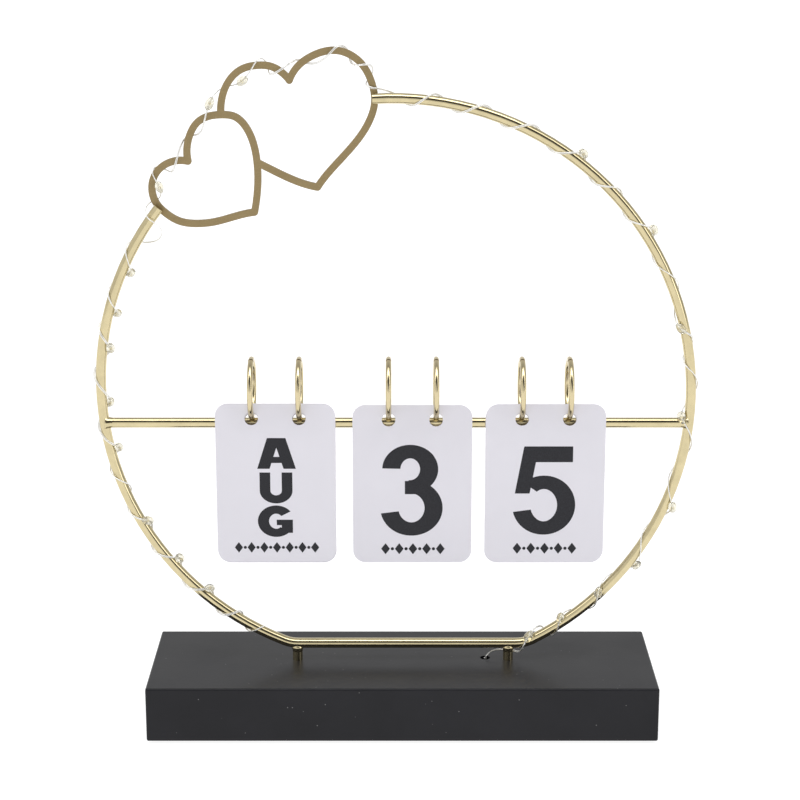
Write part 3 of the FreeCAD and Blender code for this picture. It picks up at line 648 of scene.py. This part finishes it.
class DESKCAL_OT_light_string(bpy.types.Operator):
    """Wind the string of lights round the hoop and the hearts"""
    bl_idname = "desk_calendar.light_string"
    bl_label = "Light String"

    def execute(self, context):
        settings = context.scene.desk_calendar_lights
        line = smooth_line(np.concatenate([np.array(LEAD_ROUTE) * MM, right_points(settings.slack),
                                           heart_points(), left_points(settings.slack)]))
        places, tangents = bead_places(line)
        wire = worked_metal("tinned_wire", (0.93, 0.925, 0.90, 1), (1, 1, 1), 0.42)
        string = mesh_piece("light_string", *joined(two_strands(line, settings)), wire, "frame",
                            "light_wire")
        drops = mesh_piece("light_drops", *beads(places, tangents, settings), clear_resin(),
                           "frame", "bead_resin")
        lights = mesh_piece("light_chips", *chips(places, tangents), light_chip(), "frame",
                            "bead_resin")
        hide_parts("light_lead", "light_winding_right", "light_winding_left",
                    "light_winding_hearts")
        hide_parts("light_beads")
        finish_node(["inner_lead"], wire)
        return {"FINISHED"}


# ---- metalwork ----

def weld_bead(middle, axis, profile):
    """A turned collar: pairs of distance along the axis and radius, spun round it."""
    axis = unit(np.array(axis, float))
    side, up = across_pair(axis, [0.31, 0.77, 0.55])
    turn = np.linspace(0, 2 * np.pi, 40, endpoint=False)
    ring = side[None] * np.cos(turn)[:, None] + up[None] * np.sin(turn)[:, None]
    profile = np.array(profile) * MM
    return np.array(middle) + axis * profile[:, 0, None, None] + ring[None] * profile[:, 1, None, None]


class DESKCAL_OT_metalwork(bpy.types.Operator):
    """Plate the hoop, the crossbar and the posts, and lay the welds where they meet"""
    bl_idname = "desk_calendar.metalwork"
    bl_label = "Hoop, Crossbar and Posts"

    def execute(self, context):
        gold = rod_gold(context.scene.desk_calendar_metal.rod_colour)
        finish_node(["hoop", "crossbar", "post_left", "post_right"], gold)
        collar = [(-1.3, 2.01), (-0.8, 2.08), (-0.3, 2.2), (0.1, 2.3), (0.5, 2.28), (0.9, 2.1),
                  (1.1, 1.9)]
        grids = []
        for name in ("post_left", "post_right"):
            low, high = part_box(name)
            middle = ((low.x + high.x) / 2, 0, HOOP_LOW.z)
            grids.append(weld_bead(middle, (0, 0, 1), collar))
        bar_z = (BAR_LOW.z + BAR_HIGH.z) / 2
        fillet = [(0.2, 2.9), (0.9, 2.7), (1.7, 2.3), (2.6, 2.08), (3.1, 2.01), (3.3, 1.9)]
        left_reach = math.sqrt(LEFT_RADIUS ** 2 - (bar_z - LEFT_CENTRE[2]) ** 2)
        right_reach = math.sqrt(LOWER_RADIUS ** 2 - (bar_z - LOWER_CENTRE[2]) ** 2)
        grids.append(weld_bead((LEFT_CENTRE[0] - left_reach, 0, bar_z), (1, 0, 0), fillet))
        grids.append(weld_bead((LOWER_CENTRE[0] + right_reach, 0, bar_z), (-1, 0, 0), fillet))
        mesh_piece("welds", *joined(grids), gold, "frame", "gold_rod")
        return {"FINISHED"}


class DESKCAL_OT_hearts(bpy.types.Operator):
    """Spray the heart plate"""
    bl_idname = "desk_calendar.hearts"
    bl_label = "Heart Plate"

    def execute(self, context):
        finish_node(["heart_plate"], plate_gold(context.scene.desk_calendar_metal.plate_colour))
        return {"FINISHED"}


class DESKCAL_OT_rings(bpy.types.Operator):
    """Plate the six rings"""
    bl_idname = "desk_calendar.rings"
    bl_label = "Rings"

    def execute(self, context):
        finish_node(["ring_%d" % number for number in range(1, 7)],
                    ring_gold(context.scene.desk_calendar_metal.ring_colour))
        return {"FINISHED"}


# ---- lettering: each stroke is a strip, two points across it at each station ----

def bar(x0, x1, z0, z1):
    return np.array([[(x0, z0), (x0, z1)], [(x1, z0), (x1, z1)]], float)


def slant(x0, z0, x1, z1, half):
    """A leaning stroke with level ends, of the same half width all the way."""
    return np.array([[(x0 + half, z0), (x0 - half, z0)], [(x1 + half, z1), (x1 - half, z1)]], float)


def bowl(x, z, rx, rz, start, end, half_x, half_z):
    """Part of an ellipse drawn with an oval pen: from each point of the middle line the edge
    stands off by the pen's own reach in the direction across the line."""
    angle = np.radians(np.linspace(start, end, max(5, int(abs(end - start) / 6))))
    middle = np.stack([x + rx * np.cos(angle), z + rz * np.sin(angle)], -1)
    across = unit(np.stack([rz * np.cos(angle), rx * np.sin(angle)], -1))
    reach = across * np.array([half_x, half_z]) ** 2
    reach /= np.linalg.norm(across * [half_x, half_z], axis=1)[:, None]
    return np.stack([middle - reach, middle + reach], 1)


def digit_strokes(digit):
    """Strokes of a bold figure, in a field 25 wide and 36.4 high."""
    wide, thin = 3.55, 2.75
    low = (12.1, 12.2, 8.8, 9.4)
    figures = {
        "0": lambda: [bowl(12.5, 18.2, 8.7, 15.5, 0, 360, wide, thin)],
        "1": lambda: [bar(9.6, 16.8, 0, 36.2), slant(4.4, 27.6, 12.6, 36.2, 3.6),
                      bar(3.4, 11, 25.4, 30)],
        "2": lambda: [bowl(12.3, 26.0, 8.6, 7.7, 170, -38, wide, thin),
                      slant(4.4, 4.0, 18.9, 21.6, 4.6), bar(0.4, 24.4, 0, 5.9)],
        "3": lambda: [bowl(11.6, 27.2, 7.4, 7.2, 178, -85, wide, thin),
                      bowl(12.1, 11.3, 8.7, 8.7, 95, -168, wide, thin), bar(9.5, 14.4, 17.0, 22.4)],
        "4": lambda: [bar(14.2, 20.9, 0, 36.2), bar(0.6, 25.0, 8.0, 13.4),
                      slant(3.6, 12.6, 16.8, 36.2, 3.7)],
        "5": lambda: [bar(4.3, 23.2, 29.8, 36.2), slant(3.6, 17.0, 7.0, 36.0, 2.9),
                      bowl(*low, 128, -166, wide, thin)],
        "6": lambda: [bowl(12.6, 11.9, 8.7, 9.1, 0, 360, wide, thin),
                      bowl(13.6, 16.2, 10.0, 17.3, 192, 62, wide, thin)],
        "7": lambda: [bar(0.8, 24.2, 30.0, 36.2), slant(8.6, 0, 20.2, 31.0, 3.8)],
        "8": lambda: [bowl(12.5, 26.9, 7.4, 6.6, 0, 360, wide, thin),
                      bowl(12.5, 10.6, 8.8, 7.8, 0, 360, wide, thin)],
        "9": lambda: [bowl(12.4, 24.3, 8.7, 9.1, 0, 360, wide, thin),
                      bowl(11.4, 20.0, 10.0, 17.3, 12, -118, wide, thin)],
    }
    return figures[digit]()


def letter_strokes(letter):
    """Strokes of a heavy wide capital, in a field 14 wide and 12.6 high."""
    wide, thin = 2.15, 1.65
    left, right = bar(0.4, 4.7, 0, 12.6), bar(9.3, 13.6, 0, 12.6)
    top, foot, middle = bar(0.4, 13.2, 9.5, 12.6), bar(0.4, 13.4, 0, 3.1), bar(0.4, 12.6, 4.9, 7.8)
    capitals = {
        "A": lambda: [slant(2.3, 0, 6.0, 12.6, 2.25), slant(11.9, 0, 8.2, 12.6, 2.25),
                      bar(3.4, 10.8, 2.4, 4.9)],
        "B": lambda: [left, bar(2, 9, 10.0, 12.6), bar(2, 9, 5.3, 7.6), bar(2, 9, 0, 2.7),
                      bowl(9.0, 9.1, 2.6, 2.2, 90, -90, wide, 1.3),
                      bowl(9.2, 3.6, 2.8, 2.3, 90, -90, wide, 1.35)],
        "C": lambda: [bowl(7.2, 6.3, 4.9, 4.7, 38, 322, wide, thin)],
        "D": lambda: [left, bar(2, 7.4, 9.5, 12.6), bar(2, 7.4, 0, 3.1),
                      bowl(7.0, 6.3, 4.6, 4.7, 90, -90, wide, thin)],
        "E": lambda: [left, top, foot, middle],
        "F": lambda: [left, top, middle],
        "G": lambda: [bowl(7.2, 6.3, 4.9, 4.7, 40, 312, wide, thin), bar(7.4, 13.6, 4.7, 6.9),
                      bar(9.3, 13.6, 1.6, 6.9)],
        "J": lambda: [bar(8.6, 12.9, 4.4, 12.6), bowl(6.7, 4.6, 4.1, 3.1, 0, -180, wide, thin)],
        "L": lambda: [left, foot],
        "M": lambda: [bar(0.2, 4.0, 0, 12.6), bar(10.0, 13.8, 0, 12.6),
                      slant(7.0, 1.2, 2.4, 12.6, 2.1), slant(7.0, 1.2, 11.6, 12.6, 2.1)],
        "N": lambda: [left, right, slant(11.0, 0, 3.0, 12.6, 2.6)],
        "O": lambda: [bowl(7.0, 6.3, 4.8, 4.7, 0, 360, wide, thin)],
        "P": lambda: [left, bar(2, 9, 10.0, 12.6), bar(2, 9, 4.2, 6.6),
                      bowl(9.0, 8.4, 2.8, 2.9, 90, -90, wide, 1.3)],
        "R": lambda: [left, bar(2, 9, 10.0, 12.6), bar(2, 9, 4.6, 7.0),
                      bowl(9.0, 8.6, 2.8, 2.7, 90, -90, wide, 1.3), slant(11.4, 0, 8.2, 5.4, 2.4)],
        "S": lambda: [bowl(7.0, 9.0, 4.4, 2.2, 20, 250, wide, 1.4),
                      bowl(7.0, 3.6, 4.4, 2.2, 70, -160, wide, 1.4)],
        "T": lambda: [top, bar(4.8, 9.2, 0, 12.6)],
        "U": lambda: [bar(0.4, 4.7, 5.0, 12.6), bar(9.3, 13.6, 5.0, 12.6),
                      bowl(7.0, 5.2, 4.45, 3.6, 0, -180, wide, thin)],
        "V": lambda: [slant(6.0, 0, 2.3, 12.6, 2.25), slant(8.0, 0, 11.7, 12.6, 2.25)],
        "Y": lambda: [slant(6.6, 5.0, 2.6, 12.6, 2.3), slant(7.4, 5.0, 11.4, 12.6, 2.3),
                      bar(4.8, 9.2, 0, 6.4)],
    }
    return capitals[letter]()


def lozenge(x, z, half_x, half_z):
    """A diamond: a strip that widens to its middle and closes again."""
    tip = 0.08
    return np.array([[(x - half_x, z - tip), (x - half_x, z + tip)], [(x, z - half_z), (x, z + half_z)],
                     [(x + half_x, z - tip), (x + half_x, z + tip)]])


def border(count, pitch, height):
    """A plain border: diamonds with a dot between each two, centred on nought."""
    strokes = []
    for number in range(count):
        x = (number - (count - 1) / 2) * pitch
        strokes.append(lozenge(x, height / 2, pitch * 0.31, height / 2))
        if number:
            strokes.append(bowl(x - pitch / 2, height / 2, height * 0.07, height * 0.07, 0, 360,
                                height * 0.07, height * 0.07))
    return strokes


def moved(strokes, x, z, scale_x=1.0, scale_z=1.0):
    return [stroke * [scale_x, scale_z] + [x, z] for stroke in strokes]


def print_layout(pack, name):
    """All strokes on one card, in millimetres from the middle of its foot."""
    if pack == "month":
        strokes = []
        for letter, (x, z, scale_x, scale_z) in zip(
                name.upper(), [(-7.3, 38.2, 1.07, 0.99), (-6.8, 24.1, 0.97, 1.0),
                               (-7.5, 10.3, 1.02, 1.02)]):
            strokes += moved(letter_strokes(letter), x, z, scale_x, scale_z)
        return strokes + moved(border(7, 5.0, 4.4), 0, 3.7)
    figure = moved(digit_strokes(name), -12.4, 11.3)
    return figure + moved(border(5, 5.4, 4.6), 0.3, 3.4)


def printed(strokes, middle_x, foot_z, front_y, relief):
    """Thin closed slabs of ink on the card's front, each a hair's breadth over the last."""
    grids = []
    for number, stroke in enumerate(strokes):
        stroke = stroke * MM
        if len(stroke) == 2:
            stroke = stroke[0] + (stroke[1] - stroke[0]) * np.linspace(0, 1, 3)[:, None, None]
        near = front_y - relief - number * INK_STEP
        far = front_y + relief / 2
        x = stroke[..., 0] + middle_x
        z = stroke[..., 1] + foot_z
        corners = [(x[:, 0], near, z[:, 0]), (x[:, 1], near, z[:, 1]),
                   (x[:, 1], far, z[:, 1]), (x[:, 0], far, z[:, 0])]
        grids.append(np.stack([np.stack([a, np.full_like(a, y), c], -1) for a, y, c in corners], 1))
    return joined(grids)


class DESKCAL_OT_cards(bpy.types.Operator):
    """Finish the card stock and print every card"""
    bl_idname = "desk_calendar.cards"
    bl_label = "Cards and Print"

    def execute(self, context):
        settings = context.scene.desk_calendar_cards
        stock, ink = card_stock(settings.stock_colour), printing_ink(settings.ink_colour)
        packs = [("month", MONTHS), ("tens", "0123"), ("ones", "0123456789")]
        for pack, names in packs:
            for name in names:
                card = "card_%s_%s" % (pack, name)
                low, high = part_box(card)
                finish_node([card], stock)
                mesh_piece("print_%s_%s" % (pack, name),
                           *printed(print_layout(pack, name), (low.x + high.x) / 2, low.z, low.y,
                                    settings.ink_relief),
                           ink, card, "card_white", smooth=False)
        return {"FINISHED"}


# ---- base and battery box ----

class DESKCAL_OT_base(bpy.types.Operator):
    """Paint the block and lay the felt"""
    bl_idname = "desk_calendar.base"
    bl_label = "Base"

    def execute(self, context):
        settings = context.scene.desk_calendar_base
        finish_node(["base_block"], satin_paint(settings.paint_colour))
        finish_node(["felt_sheet"], felt(settings.felt_colour))
        return {"FINISHED"}


class DESKCAL_OT_battery_box(bpy.types.Operator):
    """Finish the battery box, its cells, contacts and fastenings"""
    bl_idname = "desk_calendar.battery_box"
    bl_label = "Battery Box"

    def execute(self, context):
        finish_node(["battery_case", "battery_lid", "switch_body"],
                    moulded_plastic("black_case_plastic", (0.02, 0.02, 0.021, 1)))
        finish_node(["switch_knob"], moulded_plastic("white_knob_plastic", (0.72, 0.72, 0.70, 1)))
        finish_node(["case_screws", "lid_screw", "post_nuts", "post_washers"],
                    worked_metal("zinc_plate", (0.62, 0.63, 0.65, 1), (1, 1, 4), 0.32))
        finish_node(["coin_cell_1", "coin_cell_2"],
                    worked_metal("cell_steel", (0.70, 0.70, 0.69, 1), (6, 1, 1), 0.26))
        finish_node(["lid_bridge_contact", "positive_contact", "negative_contact"],
                    worked_metal("spring_contact", (0.74, 0.70, 0.62, 1), (1, 6, 1), 0.24))
        return {"FINISHED"}


# ---- view, floor and light ----

CAMERA_PLACE = (-0.0009, -0.7891, 0.3431)
CAMERA_DOWN = 15.05  # degrees below level
CAMERA_LENS = 94.5
CAMERA_SENSOR = 36.0
CAMERA_REACH = 60.0
FLOOR_GLOW = 0.90
FLOOR_DROP = 0.2 * MM
SKY_STRENGTH = 2.5


class DESKCAL_OT_camera(bpy.types.Operator):
    """Stand the camera before the calendar, a little above it"""
    bl_idname = "desk_calendar.camera"
    bl_label = "Camera"

    def execute(self, context):
        data = bpy.data.cameras.new("view")
        data.lens = CAMERA_LENS
        data.sensor_width = CAMERA_SENSOR
        data.clip_end = CAMERA_REACH
        view = bpy.data.objects.new("view", data)
        view.location = CAMERA_PLACE
        view.rotation_euler = (math.radians(90 - CAMERA_DOWN), 0, 0)
        context.scene.collection.objects.link(view)
        context.scene.camera = view
        return {"FINISHED"}


def area_light(name, place_at, aim, width, height, power):
    data = bpy.data.lights.new(name, "AREA")
    data.shape = "RECTANGLE"
    data.size, data.size_y = width, height
    data.energy = power
    light = bpy.data.objects.new(name, data)
    light.location = place_at
    direction = Vector(aim) - Vector(place_at)
    light.rotation_euler = direction.to_track_quat("-Z", "Y").to_euler()
    bpy.context.scene.collection.objects.link(light)
    return light


def floor_paint():
    """Pale matt floor paint that glows evenly, with a trace of unevenness."""
    material, surface = shader("pale_floor", (0.30, 0.30, 0.305, 1), 0.8)
    surface.inputs["Emission Color"].default_value = (1, 1, 1, 1)
    surface.inputs["Emission Strength"].default_value = FLOOR_GLOW
    uneven = noise(material, place(material), 3, 3)
    link(material, blended(material, uneven, (0.29, 0.29, 0.295, 1), (0.31, 0.31, 0.315, 1)),
         surface.inputs["Base Color"])
    return material


def sky():
    """Studio surroundings: an arch of soft light over the right shoulder, dark inside it, with
    grey beyond it and behind, and a pale wall on the other side.

    The first measure is how far a direction leans towards the viewer's side, the second how
    far it leans towards the arch; each is a dot product with a fixed direction.
    """
    world = bpy.data.worlds.new("studio")
    world.use_nodes = True
    nodes, links = world.node_tree.nodes, world.node_tree.links
    where = nodes.new("ShaderNodeTexCoord")
    measures = []
    for direction, low, high in (((0, -0.966, 0.259), -1.0, 1.0), ((0.423, 0.235, 0.875), -0.05, 0.15)):
        dot = nodes.new("ShaderNodeVectorMath")
        dot.operation = "DOT_PRODUCT"
        dot.inputs[1].default_value = direction
        links.new(where.outputs["Generated"], dot.inputs[0])
        scaled = nodes.new("ShaderNodeMapRange")
        scaled.inputs["From Min"].default_value = low
        scaled.inputs["From Max"].default_value = high
        links.new(dot.outputs["Value"], scaled.inputs["Value"])
        measures.append(scaled.outputs["Result"])
    ramp = nodes.new("ShaderNodeValToRGB")
    stops = [(0.0, 0.36), (0.55, 0.16), (0.672, 0.18), (0.695, 0.95), (0.815, 0.95), (0.838, 0.03),
             (1.0, 0.03)]
    elements = ramp.color_ramp.elements
    while len(elements) < len(stops):
        elements.new(0.5)
    for element, (position, level) in zip(elements, stops):
        element.position = position
        element.color = (level, level, level, 1)
    links.new(measures[0], ramp.inputs["Fac"])
    mix = nodes.new("ShaderNodeMix")
    mix.data_type = "RGBA"
    mix.inputs[6].default_value = (0.34, 0.34, 0.34, 1)
    links.new(measures[1], mix.inputs[0])
    links.new(ramp.outputs["Color"], mix.inputs[7])
    links.new(mix.outputs[2], nodes["Background"].inputs["Color"])
    nodes["Background"].inputs["Strength"].default_value = SKY_STRENGTH
    return world


class DESKCAL_OT_stage(bpy.types.Operator):
    """Lay the pale floor and hang the soft lights"""
    bl_idname = "desk_calendar.stage"
    bl_label = "Stage"

    def execute(self, context):
        settings = context.scene.desk_calendar_stage
        half = settings.floor_size / 2
        steps = np.linspace(-half, half, 9)
        x, y = np.meshgrid(steps, steps, indexing="ij")
        mesh = bpy.data.meshes.new("floor")
        mesh.from_pydata(np.stack([x, y, np.full_like(x, -FLOOR_DROP)], -1).reshape(-1, 3).tolist(), [],
                         grid_faces(9, 9).tolist())
        mesh.materials.append(floor_paint())
        floor = bpy.data.objects.new("floor", mesh)
        context.scene.collection.objects.link(floor)
        context.scene.world = sky()
        context.scene.view_settings.view_transform = "Standard"
        area_light("overhead", (0, -0.25, 1.25), (0, 0, 0.12), 1.3, 0.7, settings.key_power)
        return {"FINISHED"}


# ---- panel and main ----

OPERATORS = [DESKCAL_OT_camera, DESKCAL_OT_light_string, DESKCAL_OT_metalwork, DESKCAL_OT_hearts,
             DESKCAL_OT_rings, DESKCAL_OT_cards, DESKCAL_OT_base, DESKCAL_OT_battery_box,
             DESKCAL_OT_stage]
SETTINGS = {"desk_calendar_lights": LightStringSettings, "desk_calendar_metal": MetalSettings,
            "desk_calendar_cards": CardSettings, "desk_calendar_base": BaseSettings,
            "desk_calendar_stage": StageSettings}


class DESKCAL_PT_panel(bpy.types.Panel):
    """The calendar's finishes, in the order in which they are made"""
    bl_idname = "DESKCAL_PT_panel"
    bl_label = "Desk Calendar"
    bl_space_type = "VIEW_3D"
    bl_region_type = "UI"
    bl_category = "Desk Calendar"

    def draw(self, context):
        for attribute, group in SETTINGS.items():
            box = self.layout.box()
            for value in group.__annotations__:
                box.prop(getattr(context.scene, attribute), value)
        for operator in OPERATORS:
            self.layout.operator(operator.bl_idname)


def register():
    for group in SETTINGS.values():
        bpy.utils.register_class(group)
    for attribute, group in SETTINGS.items():
        setattr(bpy.types.Scene, attribute, bpy.props.PointerProperty(type=group))
    for operator in OPERATORS:
        bpy.utils.register_class(operator)
    bpy.utils.register_class(DESKCAL_PT_panel)


def unregister():
    bpy.utils.unregister_class(DESKCAL_PT_panel)
    for operator in reversed(OPERATORS):
        bpy.utils.unregister_class(operator)
    for attribute in SETTINGS:
        delattr(bpy.types.Scene, attribute)
    for group in reversed(list(SETTINGS.values())):
        bpy.utils.unregister_class(group)


def main():
    """Make every piece in order."""
    register()
    for operator in OPERATORS:
        name = operator.bl_idname.split(".")[1]
        getattr(bpy.ops.desk_calendar, name)()


if __name__ == "__main__":
    main()
